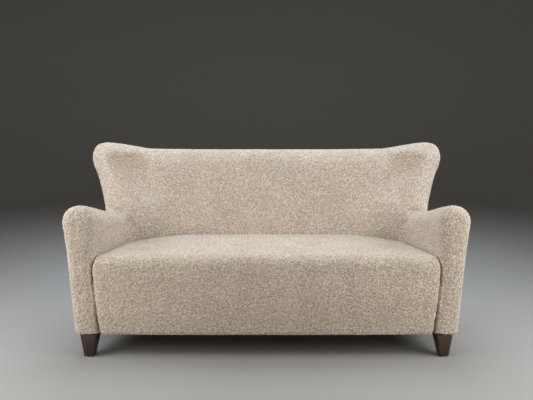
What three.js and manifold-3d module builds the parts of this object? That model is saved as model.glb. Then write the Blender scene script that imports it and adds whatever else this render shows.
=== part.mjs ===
// A two-seat settee: flared arms, a tight sprung seat, and a raked back that ends in wings.
// Millimetres. The origin is on the floor, in the middle; -Y is the front, +Z is up and +X is the right side,
// as seen from the front.

import * as THREE from 'three';
import { mergeVertices } from 'three/addons/utils/BufferGeometryUtils.js';
import Module from 'manifold-3d';

const wasm = await Module();
wasm.setup();

// Overall sizes
const overall_depth = 860;
const underside_z = 105;
const seat_overhang = 20;
const seat_front_y = -overall_depth / 2;
const back_rear_y = overall_depth / 2;
const arm_front_y = seat_front_y + seat_overhang;

// Fits
const fit_gap = 0.4;
const seam_gap = 0.6;
const weld_reach = 0.04;
const cutter_overrun = 60;
const cover_thickness = 8;

// Heights that the side profiles turn at
const border_z = 440;
const head_z = 612;
const tip_z = 939;
const wing_height = tip_z - head_z;
const neck_share = 0.11;
const wing_low_share = 0.303;
const wing_mid_share = 0.542;
const wing_high_share = 0.781;
const neck_z = head_z + neck_share * wing_height;

// Half widths of the outer sides, at the plane of the arm fronts
const foot_outer_x = 888;
const border_flare = 22;
const head_flare = 24;
const neck_flare = 34;
const wing_low_flare = 59;
const wing_mid_flare = 94;
const wing_high_flare = 125;
const tip_flare = 132;
const head_bulge = 18;

// Half widths of the arms' inner sides, at the same plane
const arm_foot_thickness = 116;
const border_inner_flare = 26;
const head_inner_flare = 16;
const foot_inner_x = foot_outer_x - arm_foot_thickness;

// Arms
const splay_share = 0.1485;
const arm_ridge_z = 709;
const arm_fall_share = 0.2;
const arm_side_radius = 34;
const arm_top_radius = 62;
const hem_radius = 6;
const inner_round_share = 0.49;
const outer_round_share = 0.45;
const arm_rear_radius = 24;
const tucked_radius = 8;
const tuck_length = 60;

// Back and wings
const back_depth = 315;
const back_foot_y = back_rear_y - back_depth;
const back_face_z = 470;
const recline_share = 0.279;
const lumbar_crown = 9;
const rear_rake_run = 142;
const rear_foot_y = back_rear_y - rear_rake_run;
const rake_share = 0.187;
const tip_rise = 39;
const back_top_z = tip_z - tip_rise;
const back_top_front_radius = 78;
const back_top_rear_radius = 62;
const wing_reach = 30;
const wing_foot_y = back_foot_y - wing_reach;
const wing_foot_z = 607;
const wing_rake_share = 0.36;
const wing_start_share = 0.7;
const wing_full_share = 0.97;
const rise_start_share = 0.64;
const rise_full_share = 0.98;
const wing_front_radius = 38;
const wing_tip_radius = 38;
const wing_rear_radius = 24;

// Seat
const seat_top_z = 480;
const seat_front_drop = 6;
const seat_bow = 12;
const seat_belly = 7;
const seat_roll_radius = 54;
const seat_edge_radius = 28;
const seat_rear_radius = 24;
const seat_front_fall = 3;
const seat_rear_fall = 45;
const fall_start_share = 0.5;
const fall_power_share = 1.8;

// Wooden frame
const frame_z = 107;
const rail_top_z = 330;
const board = 28;
const arm_front_wall = 26;
const frame_front_y = arm_front_y + arm_front_wall;
const rear_wall = 24;
const frame_rear_y = rear_foot_y - rear_wall;
const side_wall = 16;
const deck_slack = 1.6;
const post_depth = 50;
const post_inner_wall = 10;
const post_inner_x = foot_inner_x + post_inner_wall;
const post_neck_wall = 25;
const post_neck_x = foot_inner_x + border_inner_flare + post_neck_wall;
const post_foot_outer_x = foot_outer_x - side_wall;
const post_top_flare = 27;
const post_top_drop = 104;
const arm_rail_height = 60;
const stretcher_width = 60;
const block_leg = 90;
const block_height = 90;
const screw_hole_radius = 4.6;

// Back frame
const upright_depth = 46;
const upright_drop = 135;
const upright_top_z = back_top_z - upright_drop;
const back_pad = 78;
const top_rail_height = 44;
const lower_rail_z = 400;
const lower_rail_height = 60;
const stile_foot_share = 0.163;
const stile_top_share = 0.694;
const stile_foot_z = head_z + stile_foot_share * wing_height;
const stile_top_z = head_z + stile_top_share * wing_height;
const stile_wall = 20;
const stile_foot_width = 17;
const stile_depth = 36;

// Webbing, cloths and paddings
const strap_count = 8;
const strap_pitch_share = 0.238;
const strap_pitch = strap_pitch_share * (post_inner_x - splay_share * (frame_rear_y - arm_front_y));
const upright_places = [strap_pitch, (strap_count / 2) * strap_pitch];
const strap_width = 60;
const strap_thickness = 3;
const deck_cloth = 1;
const dust_cloth = 1;
const dust_margin = 6;
const wadding = 3.6;
const panel_edge = 34;
const panel_arm_drop = 66;
const panel_top_drop = 92;
const panel_depth = 70;
const panel_mid_x = foot_outer_x - arm_foot_thickness / 2;
const panel_lean_share = 0.09;

// Legs and what fixes them
const leg_inset = 3;
const leg_top = 68;
const leg_foot = 38;
const leg_front_rake = 2;
const leg_corner_share = 0.06;
const glide_height = 3;
const glide_radius = 12;
const glide_pin_radius = 2.5;
const glide_pin_length = 9;
const plate_size = 40;
const plate_thickness = 3;
const bolt_radius = 4;
const bolt_in_leg = 32;
const bolt_in_post = 36;
const bolt_set = 46;
const leg_top_y = leg_top / 2 - bolt_set;
const leg_foot_y = leg_foot / 2 - bolt_set + leg_front_rake;
const round_sides = 16;
const leg_side_inset = 67;
const leg_middle_x = foot_outer_x - leg_side_inset;
const splay_angle = Math.atan(splay_share);

function smooth(share) {
  const s = THREE.MathUtils.clamp(share, 0, 1);
  return s * s * (3 - 2 * s);
}

// A smooth curve through [place, value] points, straight beyond its ends
function curveAt(points, place) {
  const slopes = points.map((point, n) => {
    const before = points[Math.max(n - 1, 0)];
    const after = points[Math.min(n + 1, points.length - 1)];
    return (after[1] - before[1]) / (after[0] - before[0]);
  });
  if (place <= points[0][0]) {
    return points[0][1] + slopes[0] * (place - points[0][0]);
  }
  for (let n = 1; n < points.length; n += 1) {
    const [start, from] = points[n - 1];
    const [end, to] = points[n];
    if (place <= end) {
      const run = end - start;
      const t = (place - start) / run;
      const turn = (slopes[n - 1] * (1 - t) - slopes[n] * t) * run;
      return from + (to - from) * t * t * (3 - 2 * t) + t * (1 - t) * turn;
    }
  }
  const last = points.length - 1;
  return points[last][1] + slopes[last] * (place - points[last][0]);
}

// How far a rounded edge of this radius draws a face in, at a distance from the edge
function roundInset(radius, distance) {
  const d = THREE.MathUtils.clamp(distance, 0, radius);
  return radius - Math.sqrt(radius * radius - (radius - d) * (radius - d));
}

const tip_half = foot_outer_x + tip_flare;

const outer_profile = [
  [underside_z, foot_outer_x],
  [border_z, foot_outer_x + border_flare],
  [head_z, foot_outer_x + head_flare],
  [neck_z, foot_outer_x + neck_flare],
  [head_z + wing_low_share * wing_height, foot_outer_x + wing_low_flare],
  [head_z + wing_mid_share * wing_height, foot_outer_x + wing_mid_flare],
  [head_z + wing_high_share * wing_height, foot_outer_x + wing_high_flare],
  [tip_z, tip_half],
];

const inner_profile = [
  [underside_z, foot_inner_x],
  [border_z, foot_inner_x + border_inner_flare],
  [head_z, foot_inner_x + head_inner_flare],
];

function splayAt(y) {
  return splay_share * (y - arm_front_y);
}

// The outer side of arm and wing: half width at a depth and height
function outerX(y, z) {
  return curveAt(outer_profile, z) - splayAt(y);
}

function armOuterX(y, z) {
  const along = (y - arm_front_y) / (wing_foot_y - arm_front_y);
  const rise = (z - border_z) / (head_z - border_z);
  return outerX(y, Math.min(z, head_z)) + head_bulge * smooth(rise) * (1 - smooth(along));
}

function innerX(y, z) {
  return curveAt(inner_profile, Math.min(z, head_z)) - splayAt(y);
}

function armTopZ(y) {
  return arm_ridge_z - arm_fall_share * (y - arm_front_y);
}

function rearY(z) {
  return Math.min(rear_foot_y + rake_share * (z - underside_z), back_rear_y);
}

function backFaceY(z) {
  const rise = Math.max(z - back_face_z, 0);
  const crown = lumbar_crown * Math.sin(Math.PI * THREE.MathUtils.clamp(rise / (back_top_z - back_face_z), 0, 1));
  return back_foot_y + recline_share * rise - crown;
}

function wingEdgeY(z) {
  return wing_foot_y + wing_rake_share * (Math.max(z, back_face_z) - wing_foot_z);
}

// The front of the back, at a share of its half width
function backFrontY(share, z) {
  const sweep = smooth((Math.abs(share) - wing_start_share) / (wing_full_share - wing_start_share));
  return THREE.MathUtils.lerp(backFaceY(z), wingEdgeY(z), sweep);
}

function backTopZ(share) {
  const rise = smooth((Math.abs(share) - rise_start_share) / (rise_full_share - rise_start_share));
  return THREE.MathUtils.lerp(back_top_z, tip_z, rise);
}

function seatFrontY(share, z) {
  const belly = Math.sin(Math.PI * THREE.MathUtils.clamp((z - underside_z) / (border_z - underside_z), 0, 1));
  return seat_front_y + seat_bow * share * share + seat_belly * (1 - belly);
}

function seatTopZ(share, y) {
  const along = THREE.MathUtils.clamp((y - seat_front_y) / (back_foot_y - seat_front_y), 0, 1);
  const fall = THREE.MathUtils.lerp(seat_front_fall, seat_rear_fall, along);
  const side = THREE.MathUtils.clamp((Math.abs(share) - fall_start_share) / (1 - fall_start_share), 0, 1);
  const front = seat_front_drop * (1 - smooth(along * 2));
  return seat_top_z - fall * side ** fall_power_share - front;
}

// A closed surface over rings of points, with a fan over each end. Its second half is faceted as the mirror
// image of its first, so that a symmetrical form stays so.
function loft(rings) {
  const count = rings[0].length;
  const points = rings.flat();
  const index = [];
  for (let r = 1; r < rings.length; r += 1) {
    const second_half = 2 * r >= rings.length;
    for (let n = 0; n < count; n += 1) {
      const next = (n + 1) % count;
      const [a, b] = [n, next].map((place) => (r - 1) * count + place);
      const [d, c] = [n, next].map((place) => r * count + place);
      index.push(...(second_half ? [a, b, d, b, c, d] : [a, b, c, a, c, d]));
    }
  }
  [rings[0], rings[rings.length - 1]].forEach((ring, end) => {
    const centre = ring.reduce((sum, point) => sum.add(point), new THREE.Vector3()).divideScalar(count);
    const base = end * (rings.length - 1) * count;
    for (let n = 0; n < count; n += 1) {
      const pair = [base + n, base + ((n + 1) % count)];
      index.push(points.length, pair[1 - end], pair[end]);
    }
    points.push(centre);
  });
  const geometry = new THREE.BufferGeometry().setFromPoints(points);
  geometry.setIndex(index);
  return geometry;
}

// The solid of a closed surface, turned right side out
function solidOf(geometry) {
  const bare = geometry.clone();
  bare.deleteAttribute('normal');
  bare.deleteAttribute('uv');
  const merged = mergeVertices(bare);
  const vertProperties = new Float32Array(merged.attributes.position.array);
  const triVerts = new Uint32Array(merged.index.array);
  const solid = new wasm.Manifold(new wasm.Mesh({ numProp: 3, vertProperties, triVerts }));
  if (solid.volume() > 0) {
    return solid;
  }
  for (let n = 0; n < triVerts.length; n += 3) {
    triVerts.subarray(n, n + 2).reverse();
  }
  return new wasm.Manifold(new wasm.Mesh({ numProp: 3, vertProperties, triVerts }));
}

function geometryOf(solid) {
  const { numProp, vertProperties, triVerts } = solid.getMesh();
  const geometry = new THREE.BufferGeometry();
  const positions = new Float32Array((vertProperties.length / numProp) * 3);
  for (let n = 0; n < positions.length / 3; n += 1) {
    positions.set(vertProperties.subarray(n * numProp, n * numProp + 3), n * 3);
  }
  geometry.setAttribute('position', new THREE.BufferAttribute(positions, 3));
  geometry.setIndex(new THREE.BufferAttribute(new Uint32Array(triVerts), 1));
  return geometry.toNonIndexed();
}

function without(solid, ...cutters) {
  return cutters.reduce((left, cutter) => left.subtract(cutter), solid);
}

function joined(...solids) {
  return solids.reduce((sum, solid) => sum.add(solid));
}

const mirror_x = [-1, 0, 0, 0, 0, 1, 0, 0, 0, 0, 1, 0, 0, 0, 0, 1];

function mirrored(solid) {
  return solid.transform(mirror_x);
}

// How finely a form is faceted: the cover's outside is fine, what lies under it is coarse
const fine = { arc: 4, hem: 2, side: 4, face: 8, along: 5, edge_shares: [0, 0.1, 0.32, 0.62, 1] };
const coarse = { arc: 3, hem: 1, side: 3, face: 5, along: 4, edge_shares: [0, 0.15, 0.5, 1] };

function spread(from, to, steps) {
  return Array.from({ length: steps + 1 }, (_, n) => THREE.MathUtils.lerp(from, to, n / steps));
}

// The section of an upholstered form in a plane: up its first side, over a rounded top and down its second.
// first and second give the sides' places at a height, and sizes the bottom, top and corner radii.
function padSection(first, second, sizes, levels, detail) {
  const points = [];
  const quarter = Math.PI / 2;
  const corner = (side, way, radius, low, angles) => {
    angles.forEach((angle) => {
      const rise = radius * (1 - Math.sin(angle));
      const z = low ? sizes.bottom + rise : sizes.top - rise;
      points.push([side(z) + way * radius * (1 - Math.cos(angle)), z]);
    });
  };
  const between = (radius, steps) => spread(0, 1, steps).slice(1, -1)
    .map((share) => THREE.MathUtils.lerp(sizes.bottom + sizes.hem, sizes.top - radius, share));
  const shares = levels ?? [detail.side, detail.side];
  corner(first, 1, sizes.hem, true, spread(quarter, 0, detail.hem));
  between(sizes.first_radius, shares[0]).forEach((z) => points.push([first(z), z]));
  corner(first, 1, sizes.first_radius, false, spread(0, quarter, detail.arc));
  corner(second, -1, sizes.second_radius, false, spread(quarter, 0, detail.arc));
  between(sizes.second_radius, shares[1]).reverse().forEach((z) => points.push([second(z), z]));
  corner(second, -1, sizes.hem, true, spread(0, quarter, detail.hem));
  return points;
}

// Stations from one rounded end to the other, as shares of a length
function stations(length, first_radius, second_radius, middle, detail) {
  const start = detail.edge_shares.map((share) => (share * first_radius) / length);
  const end = detail.edge_shares.map((share) => 1 - (share * second_radius) / length).reverse();
  return [...start, ...middle, ...end];
}

// The right arm, drawn in by an inset: it runs from its front to the rear of the back
function armSolid(inset, detail) {
  const front = arm_front_y + inset;
  const length = rearY(head_z) - arm_front_y;
  const middle = spread(arm_top_radius / length, 1 - arm_rear_radius / length, detail.along).slice(1, -1);
  const side_radius = Math.max(arm_side_radius - inset, seam_gap);
  const top_radius = Math.max(arm_top_radius - inset, seam_gap);
  const rear_radius = Math.max(arm_rear_radius - inset, seam_gap);
  const rings = stations(length, arm_top_radius, arm_rear_radius, middle, detail).map((share) => {
    const yAt = (z) => THREE.MathUtils.lerp(front, rearY(z) - inset, share);
    const drawIn = (z, radius) => inset + roundInset(radius, yAt(z) - front)
      + roundInset(rear_radius, rearY(z) - inset - yAt(z));
    const inner = (z) => innerX(yAt(z), z) + drawIn(z, side_radius);
    const outer = (z) => armOuterX(yAt(z), z) - drawIn(z, side_radius);
    const y = yAt(head_z);
    const width = outer(head_z) - inner(head_z);
    const tuck = smooth((y - wing_foot_y) / tuck_length + 1 / 2);
    const sizes = {
      bottom: underside_z + inset,
      top: armTopZ(y) - drawIn(armTopZ(y), top_radius),
      hem: Math.max(hem_radius - inset, seam_gap),
      first_radius: inner_round_share * width,
      second_radius: THREE.MathUtils.lerp(outer_round_share * width, tucked_radius, tuck),
    };
    return padSection(inner, outer, sizes, null, detail).map(([x, z]) => new THREE.Vector3(x, yAt(z), z));
  });
  return solidOf(loft(rings));
}

// The back with its two wings, drawn in by an inset; the arms are cut out of it later
function backLoft(inset, detail) {
  const front_radius = Math.max(wing_front_radius - inset, seam_gap);
  const tip_radius = Math.max(wing_tip_radius - inset, seam_gap);
  const rear_radius = Math.max(wing_rear_radius - inset, seam_gap);
  const edge = detail.edge_shares.map((share) => 1 - (share * wing_tip_radius) / tip_half);
  const sweep = spread(edge[edge.length - 1], wing_start_share, detail.along).slice(1);
  const half = [...edge, ...sweep, wing_start_share / 2];
  const shares = [...half.map((share) => -share), 0, ...half.reverse()];
  const rings = shares.map((share) => {
    const halfAt = (y, z) => outerX(y, z) - inset;
    const sideGap = (y, z) => (1 - Math.abs(share)) * halfAt(y, z);
    const front = (z) => {
      const y = backFrontY(share, z) + inset;
      return y + roundInset(front_radius, sideGap(y, z));
    };
    const rear = (z) => {
      const y = rearY(z) - inset;
      return y - roundInset(rear_radius, sideGap(y, z));
    };
    const top = backTopZ(share) - inset;
    const sizes = {
      bottom: underside_z + inset,
      top: top - roundInset(tip_radius, sideGap(front(top), top)),
      hem: seam_gap,
      first_radius: back_top_front_radius - inset,
      second_radius: back_top_rear_radius - inset,
    };
    return padSection(front, rear, sizes, [detail.face, detail.side], detail)
      .map(([y, z]) => new THREE.Vector3(share * halfAt(y, z), y, z));
  });
  return solidOf(loft(rings));
}

// The tight seat between the arms, from its front border to the back
function seatLoft(inset, detail) {
  const side_radius = Math.max(seat_edge_radius - inset, seam_gap);
  const edge = detail.edge_shares.map((share) => 1 - (share * seat_edge_radius) / foot_inner_x);
  const middle = spread(edge[edge.length - 1], 0, detail.along).slice(1);
  const half = [...edge, ...middle];
  const shares = [...half.map((share) => -share), ...half.reverse().slice(1)];
  const rings = shares.map((share) => {
    const halfAt = (y, z) => innerX(y, z) - fit_gap - inset;
    const sideGap = (y, z) => (1 - Math.abs(share)) * halfAt(y, z);
    const front = (z) => {
      const y = seatFrontY(share, z) + inset;
      return y + roundInset(side_radius, sideGap(y, z));
    };
    const rear = (z) => backFaceY(z) - fit_gap - inset;
    const sizes = {
      bottom: underside_z + inset,
      top: seat_top_z - inset,
      hem: Math.max(hem_radius - inset, seam_gap),
      first_radius: seat_roll_radius - inset,
      second_radius: seat_rear_radius - inset,
    };
    return padSection(front, rear, sizes, [detail.side, detail.side], detail).map(([y, z]) => {
      const rise = (z - underside_z) / (seat_top_z - underside_z);
      const drop = seat_top_z - seatTopZ(share, y) + roundInset(side_radius, sideGap(y, z));
      return new THREE.Vector3(share * halfAt(y, z), y, z - drop * rise);
    });
  });
  return solidOf(loft(rings));
}

const axis_x = new THREE.Vector3(1, 0, 0);
const axis_y = new THREE.Vector3(0, 1, 0);
const axis_z = new THREE.Vector3(0, 0, 1);
const across = new THREE.Matrix4().makeBasis(axis_y, axis_z, axis_x);
const deep = new THREE.Matrix4().makeBasis(axis_x, axis_z, axis_y);
const upright = new THREE.Matrix4();

// A board: an outline in the plane across an axis, carried from one place on the axis to another
function boardGeometry(outline, from, to, turn) {
  const shape = new THREE.Shape(outline.map(([a, b]) => new THREE.Vector2(a, b)));
  const geometry = new THREE.ExtrudeGeometry(shape, { depth: to - from, bevelEnabled: false });
  return geometry.translate(0, 0, from).applyMatrix4(turn);
}

// Boards with their outlines seen from the side, from the front and from above
const sideBoard = (outline, from, to) => solidOf(boardGeometry(outline, from, to, across));
const frontBoard = (outline, from, to) => solidOf(boardGeometry(outline, from, to, deep));
const planBoard = (outline, from, to) => solidOf(boardGeometry(outline, from, to, upright));

// The arms run outwards to the front: x given at the plane of the arm fronts slides in with depth
const splayed = (solid) => solid.transform([
  1, 0, 0, 0,
  -splay_share, 1, 0, 0,
  0, 0, 1, 0,
  splay_share * arm_front_y, 0, 0, 1,
]);

// A four-sided plan between two depths, its sides at a half width that slides with the splay
function splayedPlan(half, front, rear) {
  return [
    [-half + splayAt(front), front],
    [half - splayAt(front), front],
    [half - splayAt(rear), rear],
    [-half + splayAt(rear), rear],
  ];
}

// The room under the deck, all round the seat frame, open to the floor
function deckRoom() {
  const half = foot_outer_x - side_wall + deck_slack;
  const plan = splayedPlan(half, frame_front_y - fit_gap, frame_rear_y + fit_gap);
  return planBoard(plan, underside_z - cutter_overrun, deckTopZ() + fit_gap);
}

function deckTopZ() {
  return rail_top_z + strap_thickness + fit_gap + deck_cloth;
}

function postTopZ(y) {
  return armTopZ(y) - post_top_drop;
}

// The room for the arm's posts and rail, up from the deck
function armRoom() {
  const front = frame_front_y - fit_gap;
  const rear = frame_rear_y + fit_gap;
  const post_rise = arm_fall_share * post_depth + fit_gap;
  const outline = [
    [front, underside_z],
    [rear, underside_z],
    [rear, postTopZ(rear) + post_rise],
    [front, postTopZ(front) + post_rise],
  ];
  const block = splayed(sideBoard(outline, post_neck_x - fit_gap, foot_outer_x + cutter_overrun));
  return block.intersect(armSolid(cover_thickness + wadding, coarse));
}

function uprightFrontY(z) {
  return rearY(z) - rear_wall - upright_depth;
}

// The outer edge of the leaning board in a wing
function stileOuterX(z) {
  return outerX(uprightFrontY(stile_foot_z) + upright_depth, z) - stile_wall;
}

// Half the length of the top rail, that reaches the boards in the wings
function topRailHalf() {
  return stileOuterX(stile_foot_z) - stile_foot_width;
}

// The room for the back frame: behind the padding, between the arms and out into the wings
function backRoom() {
  const post_x = Math.max(...upright_places) + board / 2 + fit_gap;
  const top = upright_top_z + top_rail_height + 2 * fit_gap;
  const front_view = [
    [post_x, underside_z],
    [post_x, stile_foot_z - fit_gap],
    [stileOuterX(stile_foot_z) + fit_gap, stile_foot_z - fit_gap],
    [stileOuterX(stile_top_z) + fit_gap, stile_top_z + fit_gap],
    [topRailHalf() - fit_gap, stile_top_z + fit_gap],
    [topRailHalf() - fit_gap, top],
  ];
  const left_view = front_view.map(([x, z]) => [-x, z]).reverse();
  const low_z = rail_top_z - cutter_overrun;
  const side_view = [
    [uprightFrontY(low_z) - board - fit_gap, low_z],
    [back_rear_y + cutter_overrun, low_z],
    [back_rear_y + cutter_overrun, tip_z],
    [uprightFrontY(tip_z) - board - fit_gap, tip_z],
  ];
  const block = frontBoard([...front_view, ...left_view], -overall_depth, overall_depth);
  return block.intersect(sideBoard(side_view, -tip_half, tip_half))
    .intersect(backLoft(cover_thickness + wadding, coarse));
}

// The outlines that the outside panels are cut along, grown or shrunk by a margin
function armPanelCut(margin) {
  const front = arm_front_y + panel_edge - margin;
  const rear = back_rear_y + cutter_overrun;
  const wingEdge = (z) => wingEdgeY(z) + panel_edge - margin;
  const head_front = armTopZ(front) - panel_arm_drop + margin;
  const head_rear = armTopZ(wing_foot_y) - panel_arm_drop + margin;
  const top = tip_z - panel_top_drop + margin;
  const rear_top = back_top_z - panel_top_drop + margin;
  const outline = [
    [front, underside_z - cutter_overrun],
    [rear, underside_z - cutter_overrun],
    [rear, rear_top],
    [rearY(rear_top) - panel_edge, rear_top],
    [wingEdge(top), top],
    [wingEdge(head_rear), head_rear],
    [front, head_front],
  ];
  const block = sideBoard(outline, panel_mid_x, panel_mid_x + 3 * cutter_overrun);
  return splayed(block).transform([
    1, 0, 0, 0,
    0, 1, 0, 0,
    panel_lean_share, 0, 1, 0,
    -panel_lean_share * underside_z, 0, 0, 1,
  ]);
}

function backPanelCut(margin) {
  const top = back_top_z - panel_top_drop + margin;
  const half = (z) => outerX(rearY(z), z) - panel_edge + margin;
  const right = [underside_z, border_z, neck_z, top].map((z) => [half(z), z]);
  right[0][1] -= cutter_overrun;
  const left = right.map(([x, z]) => [-x, z]).reverse();
  const shift = -rake_share * underside_z;
  return frontBoard([...right, ...left], rear_foot_y - panel_depth, back_rear_y + cutter_overrun).transform([
    1, 0, 0, 0,
    0, 1, 0, 0,
    0, rake_share, 1, 0,
    0, shift, 0, 1,
  ]);
}

// Every upholstered form at an inset, cut clear of its neighbours
function formsAt(inset, detail) {
  const arm = armSolid(inset, detail);
  const clear_arm = armSolid(-inset - fit_gap, detail);
  const clear_back = backLoft(-inset - fit_gap, detail);
  const clear_arms = joined(clear_arm, mirrored(clear_arm));
  const back = backLoft(inset, detail).subtract(clear_arms);
  const seat = without(seatLoft(inset, detail), clear_arms, clear_back);
  return { arm, back, seat };
}

// The largest body of a cut solid, without the crumbs and slivers that a cut leaves
function mainBody(solid) {
  const body = solid.decompose().reduce((most, next) => (next.volume() > most.volume() ? next : most));
  return body.simplify(weld_reach);
}

const deck_room = deckRoom();
const arm_room = armRoom();
const outside = formsAt(0, fine);
const lining = formsAt(cover_thickness, coarse);
const padding = formsAt(cover_thickness + fit_gap, coarse);
const arm_cut = armPanelCut(0);
const back_cut = backPanelCut(0);

// One skin over arms and back together, that the outside panels are cut from
function wholeSkin() {
  const arm = armSolid(0, fine);
  const arm_lining = armSolid(cover_thickness, coarse);
  const skin = joined(arm, mirrored(arm), backLoft(0, fine));
  return without(skin, arm_lining, mirrored(arm_lining), backLoft(cover_thickness, coarse), deck_room);
}

function armCover() {
  return mainBody(without(outside.arm, lining.arm, deck_room, arm_room, arm_cut, back_cut));
}

function backCover() {
  return mainBody(without(outside.back, lining.back, deck_room, arm_cut, mirrored(arm_cut), back_cut));
}

function seatCover() {
  return mainBody(without(outside.seat, lining.seat, deck_room));
}

function armFoam() {
  return mainBody(without(padding.arm, deck_room, arm_room));
}

function backFoam() {
  return mainBody(without(padding.back, deck_room, backRoom()));
}

function seatFoam() {
  return mainBody(without(padding.seat, deck_room));
}

function outsideArm(skin) {
  return mainBody(skin.intersect(armPanelCut(-seam_gap)).subtract(back_cut));
}

function outsideBack(skin) {
  return mainBody(skin.intersect(backPanelCut(-seam_gap)));
}

// A round pin or hole that stands on a level
function pin(radius, from, to, x, y) {
  const geometry = new THREE.CylinderGeometry(radius, radius, to - from, round_sides);
  return solidOf(geometry.rotateX(Math.PI / 2).translate(x, y, (from + to) / 2));
}

// Where the legs' bolts stand in the right arm, at its front and its rear
const leg_places = [arm_front_y + leg_inset + bolt_set, frame_rear_y - post_depth / 2]
  .map((y) => [leg_middle_x - splayAt(y), y]);

function boltHole(place) {
  const [x, y] = leg_places[place];
  return pin(screw_hole_radius, frame_z - cutter_overrun, frame_z + bolt_in_post + fit_gap, x, y);
}

// A post inside the right arm: broad below the deck, narrow and leaning above it
function armPost(place) {
  const front = place === 0 ? frame_front_y : frame_rear_y - post_depth;
  const rear = front + post_depth;
  const top = postTopZ(front);
  const lean = post_top_flare / (postTopZ(frame_front_y) - frame_z);
  const outline = [
    [post_inner_x, frame_z],
    [post_foot_outer_x, frame_z],
    [post_foot_outer_x + lean * (top - frame_z), top],
    [post_neck_x, top],
    [post_neck_x, rail_top_z],
    [post_inner_x, rail_top_z],
  ];
  return splayed(frontBoard(outline, front, rear)).subtract(boltHole(place));
}

// The rail under the arm's head, between its posts
function armRail() {
  const front = frame_front_y + post_depth + fit_gap;
  const rear = frame_rear_y - post_depth - fit_gap;
  const outline = [
    [front, postTopZ(front) - arm_rail_height],
    [rear, postTopZ(rear) - arm_rail_height],
    [rear, postTopZ(rear)],
    [front, postTopZ(front)],
  ];
  return splayed(sideBoard(outline, post_neck_x, post_neck_x + board));
}

function sideRail() {
  const front = frame_front_y + post_depth + fit_gap;
  const rear = frame_rear_y - post_depth - fit_gap;
  const outline = [[front, frame_z], [rear, frame_z], [rear, rail_top_z], [front, rail_top_z]];
  return splayed(sideBoard(outline, post_inner_x, post_inner_x + board));
}

function crossRail(front) {
  return planBoard(splayedPlan(post_inner_x - fit_gap, front, front + board), frame_z, rail_top_z);
}

function stretcher() {
  const half = stretcher_width / 2;
  const front = frame_front_y + board;
  const rear = frame_rear_y - board;
  return planBoard([[-half, front], [half, front], [half, rear], [-half, rear]], frame_z, rail_top_z);
}

// A glued block in the right front or right rear corner of the seat frame
function cornerBlock(place) {
  const front = frame_front_y + board + fit_gap;
  const rear = frame_rear_y - board - fit_gap;
  const corner = place === 0 ? front : rear;
  const along = place === 0 ? front + block_leg : rear - block_leg;
  const half = post_inner_x - fit_gap;
  const outline = [
    [half - splayAt(corner), corner],
    [half - splayAt(along), along],
    [half - splayAt(corner) - block_leg, corner],
  ];
  return planBoard(outline, frame_z, frame_z + block_height);
}

// An upright of the back frame, standing on the rear rail and raked with the back
function backUpright() {
  const foot = rail_top_z;
  const outline = [
    [uprightFrontY(foot), foot],
    [uprightFrontY(foot) + upright_depth, foot],
    [uprightFrontY(upright_top_z) + upright_depth, upright_top_z],
    [uprightFrontY(upright_top_z), upright_top_z],
  ];
  return sideBoard(outline, -board / 2, board / 2);
}

function topRail() {
  const foot = upright_top_z;
  const top = foot + top_rail_height;
  const outline = [
    [uprightFrontY(foot), foot],
    [uprightFrontY(foot) + upright_depth, foot],
    [uprightFrontY(top) + upright_depth, top],
    [uprightFrontY(top), top],
  ];
  return sideBoard(outline, -topRailHalf() + fit_gap, topRailHalf() - fit_gap);
}

function lowerRail() {
  const top = lower_rail_z + lower_rail_height;
  const half = Math.max(...upright_places) + board / 2;
  const outline = [lower_rail_z, top].map((z) => [uprightFrontY(z) - fit_gap, z]);
  const front = [top, lower_rail_z].map((z) => [uprightFrontY(z) - board, z]);
  return sideBoard([...outline, ...front], -half, half);
}

// The leaning board in the right wing, beside the end of the top rail
function wingStile() {
  const outline = [
    [topRailHalf(), stile_foot_z],
    [stileOuterX(stile_foot_z), stile_foot_z],
    [stileOuterX(stile_top_z), stile_top_z],
    [topRailHalf(), stile_top_z],
  ];
  const rear = uprightFrontY(stile_foot_z) + upright_depth;
  return frontBoard(outline, rear - stile_depth, rear);
}

function strap() {
  const half = strap_width / 2;
  const plan = [[-half, frame_front_y], [half, frame_front_y], [half, frame_rear_y], [-half, frame_rear_y]];
  return planBoard(plan, rail_top_z, rail_top_z + strap_thickness);
}

function deckCloth() {
  const foot = rail_top_z + strap_thickness + fit_gap;
  const plan = splayedPlan(post_inner_x, frame_front_y, uprightFrontY(foot) - board);
  return planBoard(plan, foot, foot + deck_cloth);
}

// The cloth stapled under the frame, cut away round the posts' feet
function dustCover() {
  const top = frame_z - fit_gap;
  const half = post_foot_outer_x - dust_margin;
  const plan = splayedPlan(half, frame_front_y, frame_rear_y);
  const notch = (front) => {
    const rear = front + post_depth + 2 * dust_margin;
    const side = [[front, underside_z - cutter_overrun], [rear, underside_z - cutter_overrun],
      [rear, rail_top_z], [front, rail_top_z]];
    return splayed(sideBoard(side, post_inner_x, foot_outer_x));
  };
  const notches = [frame_front_y - dust_margin, frame_rear_y - post_depth - dust_margin].map(notch);
  return without(planBoard(plan, top - dust_cloth, top), ...notches, ...notches.map(mirrored));
}

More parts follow.
